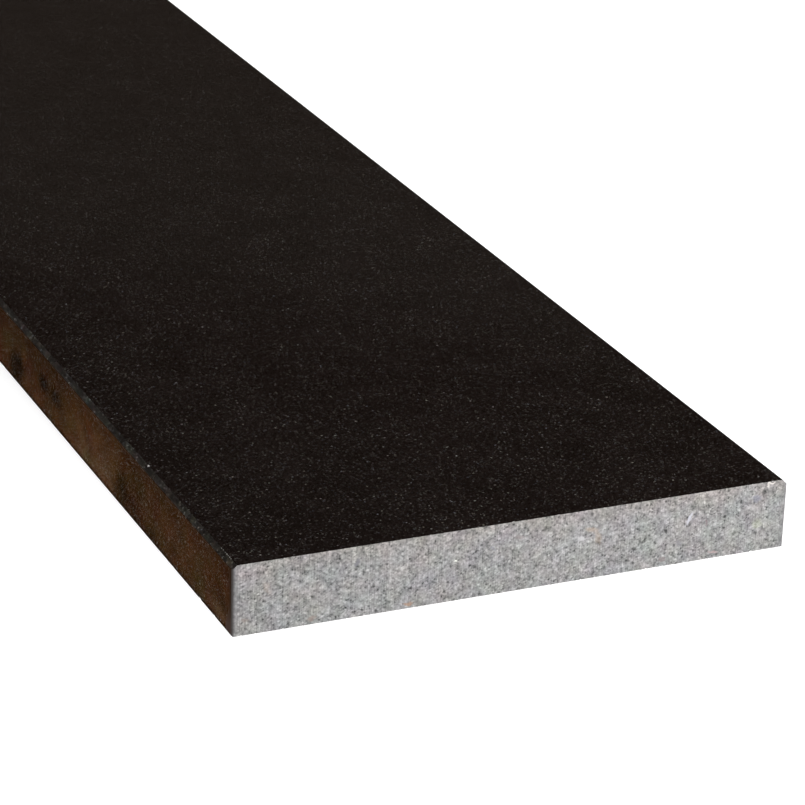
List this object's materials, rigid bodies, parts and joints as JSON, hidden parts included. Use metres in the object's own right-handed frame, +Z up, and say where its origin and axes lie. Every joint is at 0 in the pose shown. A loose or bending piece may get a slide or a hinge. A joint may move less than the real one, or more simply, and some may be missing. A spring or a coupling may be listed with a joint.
{
  "type": "granite slab",
  "caption": "Long flat bar of black granite with a polished top and long edges, bevelled top edges and rough sawn ends; a hard, heavy base to strike, cut or press on.",
  "frame": {"origin": "middle of the underside, which rests on the bench", "axes": "+Y along the slab from its front sawn end to its back sawn end, +X across it from its narrower top bevel to its wider one, +Z up out of the polished top"},
  "size_m": [0.1524, 0.9144, 0.0191],
  "materials": {
    "black_granite": "polished"
  },
  "bodies": {
    "root": {"granite_slab": "black_granite"}
  },
  "joints": []
}
